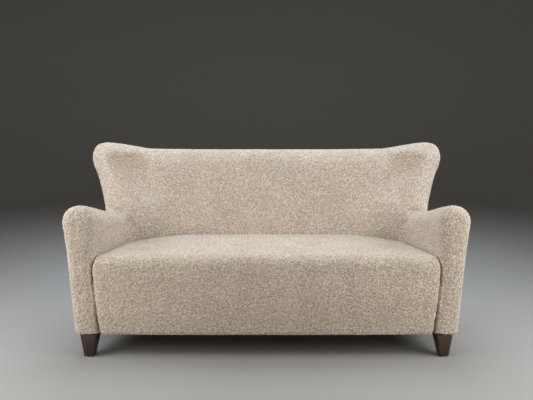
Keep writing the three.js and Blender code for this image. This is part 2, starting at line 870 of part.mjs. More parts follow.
// A tapered leg with clipped corners, bored for its bolt and its glide; its front face is almost upright.
// The origin is under the bolt.
function leg() {
  const top = frame_z - plate_thickness;
  const rings = [[leg_foot, leg_foot_y, glide_height], [leg_top, leg_top_y, top]].map(([size, middle, z]) => {
    const half = size / 2;
    const clip = half * (1 - leg_corner_share * 2);
    const corners = [[half, -clip], [half, clip], [clip, half], [-clip, half],
      [-half, clip], [-half, -clip], [-clip, -half], [clip, -half]];
    return corners.map(([x, y]) => new THREE.Vector3(x, middle + y, z));
  });
  const bore = pin(bolt_radius + fit_gap, top - bolt_in_leg - fit_gap, top + cutter_overrun, 0, 0);
  const glide_bore_top = glide_height + glide_pin_length + fit_gap;
  const glide_bore = pin(glide_pin_radius + fit_gap, -cutter_overrun, glide_bore_top, 0, leg_foot_y);
  return without(solidOf(loft(rings)), bore, glide_bore);
}

function glide() {
  const profile = [
    [0, 0],
    [glide_radius, 0],
    [glide_radius, glide_height],
    [glide_pin_radius, glide_height],
    [glide_pin_radius, glide_height + glide_pin_length],
    [0, glide_height + glide_pin_length],
  ].map(([x, y]) => new THREE.Vector2(x, y));
  const lathe = new THREE.LatheGeometry(profile, round_sides).rotateX(Math.PI / 2);
  return solidOf(lathe.translate(0, leg_foot_y, 0));
}

function legPlate() {
  const half = plate_size / 2;
  const plan = [[-half, -half], [half, -half], [half, half], [-half, half]];
  const plate = planBoard(plan, frame_z - plate_thickness, frame_z);
  return plate.subtract(pin(bolt_radius + fit_gap, 0, frame_z + cutter_overrun, 0, 0));
}

function legBolt() {
  const top = frame_z - plate_thickness;
  return pin(bolt_radius, top - bolt_in_leg, frame_z + bolt_in_post, 0, 0);
}

function finish(color, roughness, metalness = 0) {
  return new THREE.MeshStandardMaterial({ color, roughness, metalness, flatShading: true });
}

const boucle = finish(0xd9d1c4, 0.95);
const foam = finish(0xe8dfb8, 0.9);
const beech = finish(0xc9a677, 0.7);
const walnut = finish(0x3a2a22, 0.5);
const webbing = finish(0x2b2b2e, 0.8);
const cloth = finish(0x8d8170, 0.9);
const dust_cloth_black = finish(0x1b1b1c, 0.9);
const zinc = finish(0xa9adb2, 0.35, 1);
const nylon = finish(0x2a2a2a, 0.6);

const settee = new THREE.Group();
const sides = [['R', 1], ['L', -1]];
const ends = ['front', 'rear'];

function add(name, solid, material, parent = settee) {
  const mesh = new THREE.Mesh(geometryOf(solid), material);
  mesh.name = name;
  parent.add(mesh);
  return mesh;
}

function addPair(name, solid, material) {
  sides.forEach(([side, way]) => add(`${name}_${side}`, way > 0 ? solid : mirrored(solid), material));
}

const skin = wholeSkin();
add('seat_cover', seatCover(), boucle);
add('back_cover', backCover(), boucle);
add('outside_back', outsideBack(skin), boucle);
addPair('arm_cover', armCover(), boucle);
addPair('outside_arm', outsideArm(skin), boucle);
add('seat_foam', seatFoam(), foam);
add('back_foam', backFoam(), foam);
addPair('arm_foam', armFoam(), foam);

add('front_rail', crossRail(frame_front_y), beech);
add('rear_rail', crossRail(frame_rear_y - board), beech);
add('center_stretcher', stretcher(), beech);
add('back_top_rail', topRail(), beech);
add('back_lower_rail', lowerRail(), beech);
addPair('side_rail', sideRail(), beech);
addPair('arm_rail', armRail(), beech);
addPair('wing_stile', wingStile(), beech);
ends.forEach((end, place) => {
  addPair(`arm_post_${end}`, armPost(place), beech);
  addPair(`corner_block_${end}`, cornerBlock(place), beech);
});
[...upright_places.map((x) => -x).reverse(), ...upright_places].forEach((x, n) => {
  add(`back_upright_${n + 1}`, backUpright(), beech).position.x = x;
});

for (let n = 0; n < strap_count; n += 1) {
  add(`seat_strap_${n + 1}`, strap(), webbing).position.x = strap_pitch * (n - (strap_count - 1) / 2);
}
add('deck_cloth', deckCloth(), cloth);
add('dust_cover', dustCover(), dust_cloth_black);

// Each leg stands in a group of its own, turned with the arm's splay; the rear ones face the rear
sides.forEach(([side, way]) => ends.forEach((end, place) => {
  const stand = new THREE.Group();
  const [x, y] = leg_places[place];
  stand.position.set(way * x, y, 0);
  stand.rotation.z = way * splay_angle + place * Math.PI;
  add(`leg_${end}_${side}`, leg(), walnut, stand);
  add(`leg_glide_${end}_${side}`, glide(), nylon, stand);
  add(`leg_plate_${end}_${side}`, legPlate(), zinc, stand);
  add(`leg_bolt_${end}_${side}`, legBolt(), zinc, stand);
  settee.add(stand);
}));

export default settee;
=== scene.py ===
from math import cos, pi, radians, sin, tau

import bmesh
import bpy
import numpy as np
from bpy.props import FloatProperty, FloatVectorProperty, IntProperty, PointerProperty
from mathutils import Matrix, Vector, noise
from mathutils.bvhtree import BVHTree
from mathutils.kdtree import KDTree


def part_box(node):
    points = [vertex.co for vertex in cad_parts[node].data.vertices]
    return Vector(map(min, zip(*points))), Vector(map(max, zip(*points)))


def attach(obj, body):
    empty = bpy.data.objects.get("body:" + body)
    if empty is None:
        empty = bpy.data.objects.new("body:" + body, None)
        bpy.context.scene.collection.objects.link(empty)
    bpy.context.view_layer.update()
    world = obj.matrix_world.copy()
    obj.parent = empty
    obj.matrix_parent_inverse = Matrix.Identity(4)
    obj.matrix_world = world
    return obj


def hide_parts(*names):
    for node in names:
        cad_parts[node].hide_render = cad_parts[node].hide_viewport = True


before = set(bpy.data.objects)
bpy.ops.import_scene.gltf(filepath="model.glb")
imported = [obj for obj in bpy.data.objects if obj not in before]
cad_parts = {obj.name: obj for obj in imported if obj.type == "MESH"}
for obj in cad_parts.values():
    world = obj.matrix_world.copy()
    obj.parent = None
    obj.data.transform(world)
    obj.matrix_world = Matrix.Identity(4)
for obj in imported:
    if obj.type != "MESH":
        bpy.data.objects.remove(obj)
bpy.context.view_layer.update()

bl_info = {
    "name": "Flared-arm settee",
    "version": (1, 0, 0),
    "blender": (4, 5, 0),
    "location": "View3D > Sidebar > Settee",
    "description": "Upholsters and stages a settee in looped pile cloth over its fixed frame",
    "category": "Object",
}

SIDES = ("R", "L")
ENDS = ("front", "rear")
SEAT_NODES = ("seat_cover", "seat_foam")
SEAT_FOAM, SEAT_COVERS = ("seat_foam",), ("seat_cover",)
ARM_NODES = tuple(f"{part}_{side}" for part in ("arm_cover", "outside_arm", "arm_foam") for side in SIDES)
BODY_NODES = ("back_cover", "outside_back", "back_foam") + ARM_NODES
POSTS = tuple(f"arm_post_front_{side}" for side in SIDES)
BODY_FOAM = ("back_foam", "arm_foam_R", "arm_foam_L")
BODY_COVERS = ("back_cover", "arm_cover_R", "arm_cover_L")
PANELS = ("outside_back", "outside_arm_R", "outside_arm_L")

# Where the padding is shaped, in metres. Each pair is a span that a shaping grows from 0 to 1 over:
# X outwards from the middle, Y to the rear, Z up from the floor, FROM_RIDGE outwards from the ridge that
# runs down each wing, FROM_FACE and FROM_REAR away from the back's two faces.
RIDGE_FOOT_X, RIDGE_LEAN, RIDGE_Z = 0.71, 0.14, (0.6, 0.9)
WING_FRONT_Y, WING_FRONT_Z = -0.05, (0.575, 0.64)
EDGE_FROM_RIDGE, WING_EDGE_X = -0.02, 0.9
EDGE_TIP_SHARE, EDGE_TIP_Z = 0.25, (0.76, 0.88)
HOLLOW_FROM_RIDGE, HOLLOW_END_FROM_RIDGE = (-0.26, -0.13), (-0.055, 0.005)
HOLLOW_Z, HOLLOW_END_Z = (0.64, 0.82), (0.83, 0.905)
ARM_TOP_Y, ARM_TOP_END_Y = (-0.36, -0.02), (0.2, 0.3)
ARM_TOP_Z, ARM_TOP_END_Z = (0.47, 0.57), (0.66, 0.76)
ARM_EDGE_Y, ARM_EDGE_X = (-0.26, -0.33), (0.855, 0.815)
ARM_EDGE_Z, ARM_EDGE_END_Z = (0.44, 0.5), (0.6, 0.64)
WING_SIDE_X, WING_SIDE_Y, WING_SIDE_Z = (0.6, 0.7), (0, 0.06), (0.46, 0.56)
WING_SIDE_FROM_FACE, WING_SIDE_FROM_REAR = (0.012, 0.045), (0.02, 0.05)
TUCK_X, TUCK_Z = (0.7, 0.76), (0.555, 0.585)
SEAM_FRONT_Y = (-0.3, -0.38)

# How far a normal points to the front, where a face counts as part of it
FACING = (0.05, 0.6)

# How the padding's mesh is evened out, and the cloth simulated
RELAX_STEP, RELAX_BACK_STEP, EASE_STEP = 0.5, 0.53, 0.6
FIRST_ROUNDS, SHAPED_ROUNDS, LAST_ROUNDS = 14, 6, 3
FACING_ROUNDS, OPENING_ROUNDS, MOVE_ROUNDS, CARRY_ROUNDS = 12, 24, 4, 6
RAY_START, RAY_REACH = 0.004, 0.15
CROWDING_SHARE = 1 / 1.4
CLOTH_FRAMES, CLOTH_STIFFNESS, CLOTH_BENDING = 20, 30, 2
FURTHEST_SHARE = 0.995
NEAR_SPOTS, TINY = 4, 1e-4

# Detail of the cloth's colours, in repeats to the metre
CLUMPS, CURLS, CLOUDS = 175.0, 300.0, 7.0

BEECH = (0.62, 0.42, 0.24), (0.44, 0.27, 0.14)

# The studio
BEND_STEPS, FLOOR_SIDES = 8, 64
COLD, EVEN, MILD, WARM = (0.8, 0.91, 1), (0.95, 0.98, 1), (1, 0.95, 0.87), (1, 0.82, 0.6)


class UpholsterySettings(bpy.types.PropertyGroup):
    """Sizes and colours of the padding and its looped pile cloth"""

    voxel: FloatProperty(
        name="Padding mesh", description="Mesh size that the padding is shaped at",
        default=0.008, unit="LENGTH", subtype="DISTANCE")
    foam_depth: FloatProperty(
        name="Cover depth", description="Least depth of foam under a face that shows",
        default=0.0045, unit="LENGTH", subtype="DISTANCE")
    tuck_reach: FloatProperty(
        name="Tuck", description="How near a neighbour a face counts as tucked in",
        default=0.003, unit="LENGTH", subtype="DISTANCE")
    sparse_voxel: FloatProperty(
        name="Simulation mesh", description="Mesh size that the swelling is simulated at",
        default=0.016, unit="LENGTH", subtype="DISTANCE")
    close_reach: FloatProperty(
        name="Closing reach", description="How near a neighbour the padding crowds towards it",
        default=0.032, unit="LENGTH", subtype="DISTANCE")
    close_rise: FloatProperty(
        name="Closing rise", description="How far crowding lifts the bottom of the groove between two pieces",
        default=0.006, unit="LENGTH", subtype="DISTANCE")
    front_close_rise: FloatProperty(
        name="Front closing rise", description="The same for the arms, in the groove beside the seat's front",
        default=0.04, unit="LENGTH", subtype="DISTANCE")
    seat_close_rise: FloatProperty(
        name="Seat closing rise", description="The same for the seat's front, in that groove",
        default=0.01, unit="LENGTH", subtype="DISTANCE")
    back_wadding: FloatProperty(
        name="Back wadding", description="Wadding behind the outside back cloth",
        default=0.008, unit="LENGTH", subtype="DISTANCE")
    crease_rounds: IntProperty(
        name="Crease filling", description="Rounds of filling where arms, wings and back meet",
        default=80, min=0)
    crease_top: FloatProperty(
        name="Crease top", description="Height from which the creases get less filling",
        default=0.5, unit="LENGTH", subtype="DISTANCE")
    crease_fade: FloatProperty(
        name="Crease fade", description="Height over which the filling ends",
        default=0.06, unit="LENGTH", subtype="DISTANCE")
    wing_recess: FloatProperty(
        name="Wing edge", description="How far the wings' outer edges are rounded back",
        default=0.064, unit="LENGTH", subtype="DISTANCE")
    wing_hollow: FloatProperty(
        name="Wing hollow", description="How far the wings are hollowed inside their tips",
        default=0.07, unit="LENGTH", subtype="DISTANCE")
    arm_fall: FloatProperty(
        name="Arm fall", description="How much further the arms' tops fall before they meet the wings",
        default=0.014, unit="LENGTH", subtype="DISTANCE")
    arm_edge_rounds: IntProperty(
        name="Arm edge", description="Rounds of easing that the arms' inner front edges get",
        default=18, min=0)
    wing_side_rounds: IntProperty(
        name="Wing sides", description="Rounds of easing that the wings' outer sides get",
        default=90, min=0)
    tuck_depth: FloatProperty(
        name="Tuck depth", description="How far the cloth is pulled in where the wings meet the arms' tops",
        default=0.015, unit="LENGTH", subtype="DISTANCE")
    tuck_width: FloatProperty(
        name="Tuck width", description="Half width of that pull",
        default=0.021, unit="LENGTH", subtype="DISTANCE")
    swell: FloatProperty(
        name="Swell", description="Furthest that the padding swells under its cloth",
        default=0.006, unit="LENGTH", subtype="DISTANCE")
    pressure: FloatProperty(
        name="Pressure", description="Pressure of the padding against the cloth", default=4.0)
    seam_depth: FloatProperty(
        name="Seam depth", description="How far a seam draws the pile in",
        default=0.0026, unit="LENGTH", subtype="DISTANCE")
    seam_width: FloatProperty(
        name="Seam width", description="Half width of the groove along a seam",
        default=0.0045, unit="LENGTH", subtype="DISTANCE")
    hem_height: FloatProperty(
        name="Hem", description="Height of the hem's stitch line over the lower edge",
        default=0.012, unit="LENGTH", subtype="DISTANCE")
    hem_depth: FloatProperty(
        name="Hem depth", description="How far the hem's stitch line draws the pile in",
        default=0.001, unit="LENGTH", subtype="DISTANCE")
    nub_spacing: FloatProperty(
        name="Nub spacing", description="Distance between the nubs of the pile",
        default=0.006, unit="LENGTH", subtype="DISTANCE")
    nub_height: FloatProperty(
        name="Nub height", description="Height of the nubs over the hollows between them",
        default=0.0032, unit="LENGTH", subtype="DISTANCE")
    pile_color: FloatVectorProperty(
        name="Pile", description="Colour of the tips of the loops",
        default=(0.88, 0.835, 0.785), size=3, min=0, max=1, subtype="COLOR")
    # Painted shade: the colour between the loops is darker and warmer than the cloth, standing in for the
    # shadow and warm bounce light in the hollows
    hollow_shade_color: FloatVectorProperty(
        name="Hollows", description="Colour between the loops",
        default=(0.45, 0.355, 0.265), size=3, min=0, max=1, subtype="COLOR")


class WoodSettings(bpy.types.PropertyGroup):
    """Finish of the legs"""

    leg_edge: FloatProperty(
        name="Leg edge", description="Radius that the legs' edges are eased to",
        default=0.0016, unit="LENGTH", subtype="DISTANCE")
    leg_fullness: FloatProperty(
        name="Leg fullness", description="Width of the legs against that of their cores", default=1.13, min=1)
    stain_color: FloatVectorProperty(
        name="Stain", description="Colour of the legs between the grain lines",
        default=(0.05, 0.026, 0.016), size=3, min=0, max=1, subtype="COLOR")
    grain_color: FloatVectorProperty(
        name="Grain", description="Colour of the legs' grain lines",
        default=(0.016, 0.009, 0.007), size=3, min=0, max=1, subtype="COLOR")


class StageSettings(bpy.types.PropertyGroup):
    """The camera, the floor and the studio lights"""

    camera_distance: FloatProperty(
        name="Camera distance", description="From the camera to the middle of the settee, along the floor",
        default=3.71, unit="LENGTH", subtype="DISTANCE")
    camera_height: FloatProperty(
        name="Camera height", description="Height of the camera over the floor",
        default=1.2, unit="LENGTH", subtype="DISTANCE")
    camera_tilt: FloatProperty(
        name="Camera tilt", description="How far the camera looks down",
        default=radians(8.083), unit="ROTATION", subtype="ANGLE")
    lens_pixels: FloatProperty(
        name="Lens", description="Focal length in pixels of the photograph", default=745.0)
    picture_width: IntProperty(
        name="Picture width", description="Width of the photograph in pixels", default=533)
    sensor_width: FloatProperty(
        name="Sensor", description="Width of the camera's sensor in millimetres", default=36.0)
    floor_color: FloatVectorProperty(
        name="Floor", description="Colour of the studio floor",
        default=(0.38, 0.38, 0.38), size=3, min=0, max=1, subtype="COLOR")
    floor_radius: FloatProperty(
        name="Floor radius", description="Radius of the level floor",
        default=5.0, unit="LENGTH", subtype="DISTANCE")
    wall_bend: FloatProperty(
        name="Wall bend", description="Radius that the floor turns up into the wall with",
        default=1.6, unit="LENGTH", subtype="DISTANCE")
    wall_height: FloatProperty(
        name="Wall height", description="Height of the studio's wall",
        default=4.0, unit="LENGTH", subtype="DISTANCE")
    room_color: FloatVectorProperty(
        name="Room", description="Colour of the light that fills the room",
        default=(0.065, 0.052, 0.038), size=3, min=0, max=1, subtype="COLOR")
    top_power: FloatProperty(
        name="Top light", description="Power of the light overhead", default=21.0, unit="POWER")
    rear_power: FloatProperty(
        name="Rear light", description="Power of the light over the back", default=52.0, unit="POWER")
    front_power: FloatProperty(
        name="Front lights", description="Power of each light in front of the arms", default=13.0, unit="POWER")
    side_power: FloatProperty(
        name="Side lights", description="Power of each light beside the arms", default=13.0, unit="POWER")
    low_power: FloatProperty(
        name="Low lights", description="Power of each low light at the front", default=6.5, unit="POWER")


def link(piece):
    bpy.context.scene.collection.objects.link(piece)
    return piece


def merged_copy(name, nodes, lining=(), wadding=0):
    """One mesh of copies of CAD nodes, with loose triangles joined; a lining is set forward by its wadding"""
    shape = bmesh.new()
    for node in lining:
        shape.from_mesh(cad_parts[node].data)
    bmesh.ops.translate(shape, verts=shape.verts, vec=(0, -wadding, 0))
    for node in nodes:
        shape.from_mesh(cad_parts[node].data)
    bmesh.ops.remove_doubles(shape, verts=shape.verts, dist=1e-5)
    mesh = bpy.data.meshes.new(name)
    shape.to_mesh(mesh)
    shape.free()
    return link(bpy.data.objects.new(name, mesh))


def bake(piece):
    """Puts the shape that a piece's modifiers give it into its mesh, and takes them off"""
    graph = bpy.context.evaluated_depsgraph_get()
    mesh = bpy.data.meshes.new_from_object(piece.evaluated_get(graph))
    piece.modifiers.clear()
    old, piece.data = piece.data, mesh
    bpy.data.meshes.remove(old)


def points_of(mesh):
    points = np.empty(len(mesh.vertices) * 3, np.float32)
    mesh.vertices.foreach_get("co", points)
    return points.reshape(-1, 3).astype(float)


def place_points(mesh, points):
    mesh.vertices.foreach_set("co", points.astype(np.float32).ravel())
    mesh.update()


def normals_of(mesh):
    normals = np.empty(len(mesh.vertices) * 3, np.float32)
    mesh.vertex_normals.foreach_get("vector", normals)
    return normals.reshape(-1, 3).astype(float)


def edges_of(mesh):
    edges = np.empty(len(mesh.edges) * 2, np.int32)
    mesh.edges.foreach_get("vertices", edges)
    return edges.reshape(-1, 2)


def neighbour_mean(values, edges):
    """The mean of each vertex's neighbours, for a column or a table of values"""
    count = len(values)
    table = values.reshape(count, -1)
    ends = np.bincount(edges.ravel(), minlength=count).clip(1)
    sums = [np.bincount(edges[:, 0], column[edges[:, 1]], count)
            + np.bincount(edges[:, 1], column[edges[:, 0]], count) for column in table.T]
    return (np.stack(sums, 1) / ends[:, None]).reshape(values.shape)


def soften(mesh, rounds):
    """Evens a mesh out without shrinking it: each round pulls points in and lets them back out"""
    points, edges = points_of(mesh), edges_of(mesh)
    for _ in range(rounds):
        points += RELAX_STEP * (neighbour_mean(points, edges) - points)
        points -= RELAX_BACK_STEP * (neighbour_mean(points, edges) - points)
    place_points(mesh, points)


def tree_of(*meshes):
    """A search tree over the faces of meshes"""
    shape = bmesh.new()
    for mesh in meshes:
        shape.from_mesh(mesh)
    tree = BVHTree.FromBMesh(shape)
    shape.free()
    return tree


def surface_of(*nodes):
    """A search tree over the faces of CAD nodes"""
    return tree_of(*(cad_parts[node].data for node in nodes))


def ramp(values, start, end):
    """0 before start, 1 past end, and an even S between"""
    share = np.clip((values - start) / (end - start), 0, 1)
    return share * share * (3 - 2 * share)


def fill_creases(mesh, outer, settings):
    """Rounds hollows off by moving points to their neighbours' mean, only outwards, and not over the arms"""
    edges = edges_of(mesh)
    fade_end = settings.crease_top + settings.crease_fade
    pull = EASE_STEP * outer * (1 - ramp(points_of(mesh)[:, 2], settings.crease_top, fade_end))
    for _ in range(settings.crease_rounds):
        points = points_of(mesh)
        step = neighbour_mean(points, edges) - points
        outward = (step * normals_of(mesh)).sum(axis=1) > 0
        place_points(mesh, points + step * (pull * outward)[:, None])


def blurred(values, edges, rounds):
    """Values evened out over the mesh, each round to the mean of the neighbours"""
    for _ in range(rounds):
        values = neighbour_mean(values, edges)
    return values


def ease(mesh, pull, rounds):
    """Pulls points to their neighbours' mean, each by its share"""
    points, edges = points_of(mesh), edges_of(mesh)
    for _ in range(rounds):
        points += (EASE_STEP * pull)[:, None] * (neighbour_mean(points, edges) - points)
    place_points(mesh, points)


def shape_wings(mesh, settings):
    """Rounds the wings' outer edges back, most over the arms, and hollows the wings under their tips"""
    points, normals = points_of(mesh), normals_of(mesh)
    out, height = abs(points[:, 0]), points[:, 2]
    ridge = RIDGE_FOOT_X + RIDGE_LEAN * ramp(height, *RIDGE_Z)
    facing = ramp(-normals[:, 1], *FACING) * ramp(height, *WING_FRONT_Z) * (points[:, 1] > WING_FRONT_Y)
    tree = tree_of(mesh)
    for n in np.flatnonzero((facing > 0) & (out - ridge > HOLLOW_FROM_RIDGE[0])):
        start = Vector(points[n]) - Vector((0, RAY_START, 0))
        facing[n] *= tree.ray_cast(start, Vector((0, -1, 0)), RAY_REACH)[0] is None
    facing = blurred(facing, edges_of(mesh), FACING_ROUNDS)
    narrowed = 1 - (1 - EDGE_TIP_SHARE) * ramp(height, *EDGE_TIP_Z)
    rounded = ramp(out, ridge + EDGE_FROM_RIDGE, WING_EDGE_X) * narrowed
    hollow = ramp(out - ridge, *HOLLOW_FROM_RIDGE) * (1 - ramp(out - ridge, *HOLLOW_END_FROM_RIDGE))
    hollow *= ramp(height, *HOLLOW_Z) * (1 - ramp(height, *HOLLOW_END_Z))
    points[:, 1] += facing * (settings.wing_recess * rounded + settings.wing_hollow * hollow)
    place_points(mesh, points)


def lower_arm_tops(mesh, settings):
    """Lets the arms' tops fall further towards the wings"""
    points = points_of(mesh)
    depth, height = points[:, 1], points[:, 2]
    fall = ramp(depth, *ARM_TOP_Y) * (1 - ramp(depth, *ARM_TOP_END_Y))
    fall *= ramp(height, *ARM_TOP_Z) * (1 - ramp(height, *ARM_TOP_END_Z))
    points[:, 2] -= settings.arm_fall * fall
    place_points(mesh, points)


def ease_arm_edges(mesh, settings):
    """Rounds the arms' inner front edges, so that each arm's front flows into its inner side"""
    points = points_of(mesh)
    out, depth, height = abs(points[:, 0]), points[:, 1], points[:, 2]
    pull = ramp(depth, *ARM_EDGE_Y) * ramp(out, *ARM_EDGE_X)
    pull *= ramp(height, *ARM_EDGE_Z) * (1 - ramp(height, *ARM_EDGE_END_Z))
    ease(mesh, pull, settings.arm_edge_rounds)


def ease_wing_sides(mesh, settings):
    """Evens out the folds between the wings' outer sides and the arms' outside panels"""
    points = points_of(mesh)
    out, depth, height = abs(points[:, 0]), points[:, 1], points[:, 2]
    pull = ramp(out, *WING_SIDE_X) * ramp(depth, *WING_SIDE_Y) * ramp(height, *WING_SIDE_Z)
    pull *= ramp(distances(points, surface_of("back_cover")), *WING_SIDE_FROM_FACE)
    pull *= ramp(distances(points, surface_of("outside_back")), *WING_SIDE_FROM_REAR)
    ease(mesh, pull, settings.wing_side_rounds)


def tuck_in(mesh, settings):
    """Pulls the cloth in along the crease between the wings and the arms' tops"""
    points = points_of(mesh)
    reach = distances(points, surface_of("back_cover"))
    reach += distances(points, surface_of("arm_cover_R", "arm_cover_L"))
    pull = settings.tuck_depth * np.exp(-(reach / settings.tuck_width) ** 2)
    pull *= ramp(points[:, 2], *TUCK_Z) * ramp(abs(points[:, 0]), *TUCK_X)
    place_points(mesh, points - normals_of(mesh) * pull[:, None])


def crowd_seams(mesh, neighbours, front_rise, settings):
    """Crowds the padding out where it meets a neighbour, by another rise at the front"""
    tree, points = surface_of(*neighbours), points_of(mesh)
    opening = blurred(normals_of(mesh), edges_of(mesh), OPENING_ROUNDS)
    front = ramp(points[:, 1], *SEAM_FRONT_Y)
    rise = settings.close_rise + (front_rise - settings.close_rise) * front
    for n, point in enumerate(points):
        _, facing, _, distance = tree.find_nearest(point)
        share = max(1 - distance / settings.close_reach, 0) ** 3
        points[n] += rise[n] * share * CROWDING_SHARE * (opening[n] + np.array(facing))
    place_points(mesh, points)


def distances(points, tree):
    return np.array([tree.find_nearest(point)[3] for point in points])


def outer_points(mesh, foam, settings):
    """1 where a point lies on the outer face of the padding, 0 where it lies within"""
    return (distances(points_of(mesh), surface_of(*foam)) > settings.foam_depth).astype(float)


def shown_points(mesh, foam, neighbours, settings):
    """1 where a point lies on the outer face and isn't tucked against a neighbour, else 0"""
    clear = distances(points_of(mesh), surface_of(*neighbours)) > settings.tuck_reach
    return outer_points(mesh, foam, settings) * clear


def swell_cloth(sparse, shown, settings):
    """Swells a sparse copy of a padded piece by simulation; what isn't shown stays where it is"""
    tucked = sparse.vertex_groups.new(name="tucked")
    tucked.add([int(n) for n in np.flatnonzero(shown < 0.5)], 1, "REPLACE")
    cloth = sparse.modifiers.new("plump", "CLOTH")
    cloth.settings.use_pressure = True
    cloth.settings.uniform_pressure_force = settings.pressure
    cloth.settings.vertex_group_mass = tucked.name
    cloth.settings.quality = 3
    cloth.settings.tension_stiffness = CLOTH_STIFFNESS
    cloth.settings.compression_stiffness = CLOTH_STIFFNESS
    cloth.settings.bending_stiffness = CLOTH_BENDING
    cloth.settings.effector_weights.gravity = 0
    cloth.collision_settings.use_collision = False
    cloth.point_cache.frame_start = 1
    cloth.point_cache.frame_end = CLOTH_FRAMES
    for number in range(1, CLOTH_FRAMES + 1):
        bpy.context.scene.frame_set(number)
    bake(sparse)
    bpy.context.scene.frame_set(1)


def plump(piece, foam, neighbours, settings):
    """Swells a padded piece under its cloth, with moves that a sparser copy of it makes in a simulation"""
    sparse = link(bpy.data.objects.new("sparse", piece.data.copy()))
    remesh(sparse, settings.sparse_voxel)
    rest = points_of(sparse.data)
    shown = shown_points(sparse.data, foam, neighbours, settings)
    swell_cloth(sparse, shown, settings)
    move = blurred(points_of(sparse.data) - rest, edges_of(sparse.data), MOVE_ROUNDS)
    furthest = np.quantile(np.linalg.norm(move, axis=1)[shown > 0.5], FURTHEST_SHARE)
    move *= settings.swell / max(furthest, settings.swell)
    bpy.data.objects.remove(sparse)

    spots = KDTree(len(rest))
    for n, point in enumerate(rest):
        spots.insert(point, n)
    spots.balance()
    points = points_of(piece.data)
    carried = np.empty_like(points)
    for n, point in enumerate(points):
        near = spots.find_n(point, NEAR_SPOTS)
        weights = np.array([1 / (distance + TINY) for _, _, distance in near])
        carried[n] = weights @ move[[index for _, index, _ in near]] / weights.sum()
    carried = blurred(carried, edges_of(piece.data), CARRY_ROUNDS)
    still = shown_points(piece.data, foam, neighbours, settings)
    place_points(piece.data, points + carried * still[:, None])


def refine_shown(piece, shown):
    """Halves the edges of the faces that show, to carry the pile"""
    shape = bmesh.new()
    shape.from_mesh(piece.data)
    shape.verts.ensure_lookup_table()
    edges = [edge for edge in shape.edges if min(shown[vert.index] for vert in edge.verts) > 0.5]
    bmesh.ops.subdivide_edges(shape, edges=edges, cuts=1, use_grid_fill=True)
    shape.to_mesh(piece.data)
    shape.free()


def pile_heights(points, spacing):
    """Height of the looped pile at each point, from 0 in the hollows to 1 on the nubs"""
    heights = np.array([noise.noise(Vector(point) / spacing) for point in points])
    return np.clip(0.5 + heights, 0, 1)


def dress(piece, shown, settings, seam_distance=None):
    """Draws in the seams and raises the pile, and keeps the pile's height, which sets where painted shade
    darkens the cloth's colour between the loops
    """
    mesh = piece.data
    points, normals = points_of(mesh), normals_of(mesh)
    hem = (points[:, 2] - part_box("seat_cover")[0].z - settings.hem_height) / settings.seam_width
    groove = settings.hem_depth * np.exp(-hem ** 2)
    if seam_distance is not None:
        groove += settings.seam_depth * np.exp(-(seam_distance / settings.seam_width) ** 2)
    heights = pile_heights(points, settings.nub_spacing)
    rise = settings.nub_height * (heights - 0.5) - groove
    place_points(mesh, points + normals * (rise * shown)[:, None])
    pile = mesh.attributes.new("pile", "FLOAT", "POINT")
    pile.data.foreach_set("value", heights.astype(np.float32))
    mesh.shade_smooth()


def remesh(piece, voxel):
    """Joins a piece's solids into one even skin"""
    voxels = piece.modifiers.new("voxels", "REMESH")
    voxels.mode = "VOXEL"
    voxels.voxel_size = voxel
    bake(piece)


def make_padding(name, nodes, foam, neighbours, front_rise, settings, lining=(), shaping=()):
    """A padded piece: the shape that its CAD nodes hold, with its creases filled, swollen under its cloth

    nodes and lining are the CAD nodes that it is made from, foam those that lie within it, neighbours those
    that it stays clear of, and shaping the functions that shape it further.
    """
    piece = merged_copy(name, nodes, lining, settings.back_wadding)
    remesh(piece, settings.voxel)
    soften(piece.data, FIRST_ROUNDS)
    outer = outer_points(piece.data, foam, settings)
    fill_creases(piece.data, outer, settings)
    for shape in shaping:
        shape(piece.data, settings)
    crowd_seams(piece.data, neighbours, front_rise, settings)
    soften(piece.data, SHAPED_ROUNDS)
    plump(piece, foam, neighbours, settings)
    refine_shown(piece, outer)
    soften(piece.data, LAST_ROUNDS)
    return piece


def new_material(name):
    material = bpy.data.materials.new(name)
    material.use_nodes = True
    return material, material.node_tree, material.node_tree.nodes["Principled BSDF"]


def add_node(tree, kind, inputs, **options):
    """A node with its options and inputs set; an input that is another node's output is linked"""
    made = tree.nodes.new(kind)
    for option, value in options.items():
        setattr(made, option, value)
    for socket, value in inputs.items():
        if isinstance(value, bpy.types.NodeSocket):
            tree.links.new(value, made.inputs[socket])
        else:
            made.inputs[socket].default_value = value
    return made


def mix_colors(tree, share, first, second):
    made = add_node(tree, "ShaderNodeMix", {}, data_type="RGBA")
    for place, value in ((0, share), (6, first), (7, second)):
        if isinstance(value, bpy.types.NodeSocket):
            tree.links.new(value, made.inputs[place])
        else:
            made.inputs[place].default_value = value if place == 0 else (*value, 1)
    return made.outputs[2]


def spread(tree, value, start, end, low, high):
    """Maps a value from start..end to low..high"""
    return add_node(tree, "ShaderNodeMapRange", {0: value, 1: start, 2: end, 3: low, 4: high}).outputs[0]


def add_bump(tree, shader, height, strength, distance):
    bump = add_node(tree, "ShaderNodeBump", {"Height": height, "Strength": strength, "Distance": distance})
    tree.links.new(bump.outputs[0], shader.inputs["Normal"])


def object_place(tree):
    return tree.nodes.new("ShaderNodeTexCoord").outputs["Object"]


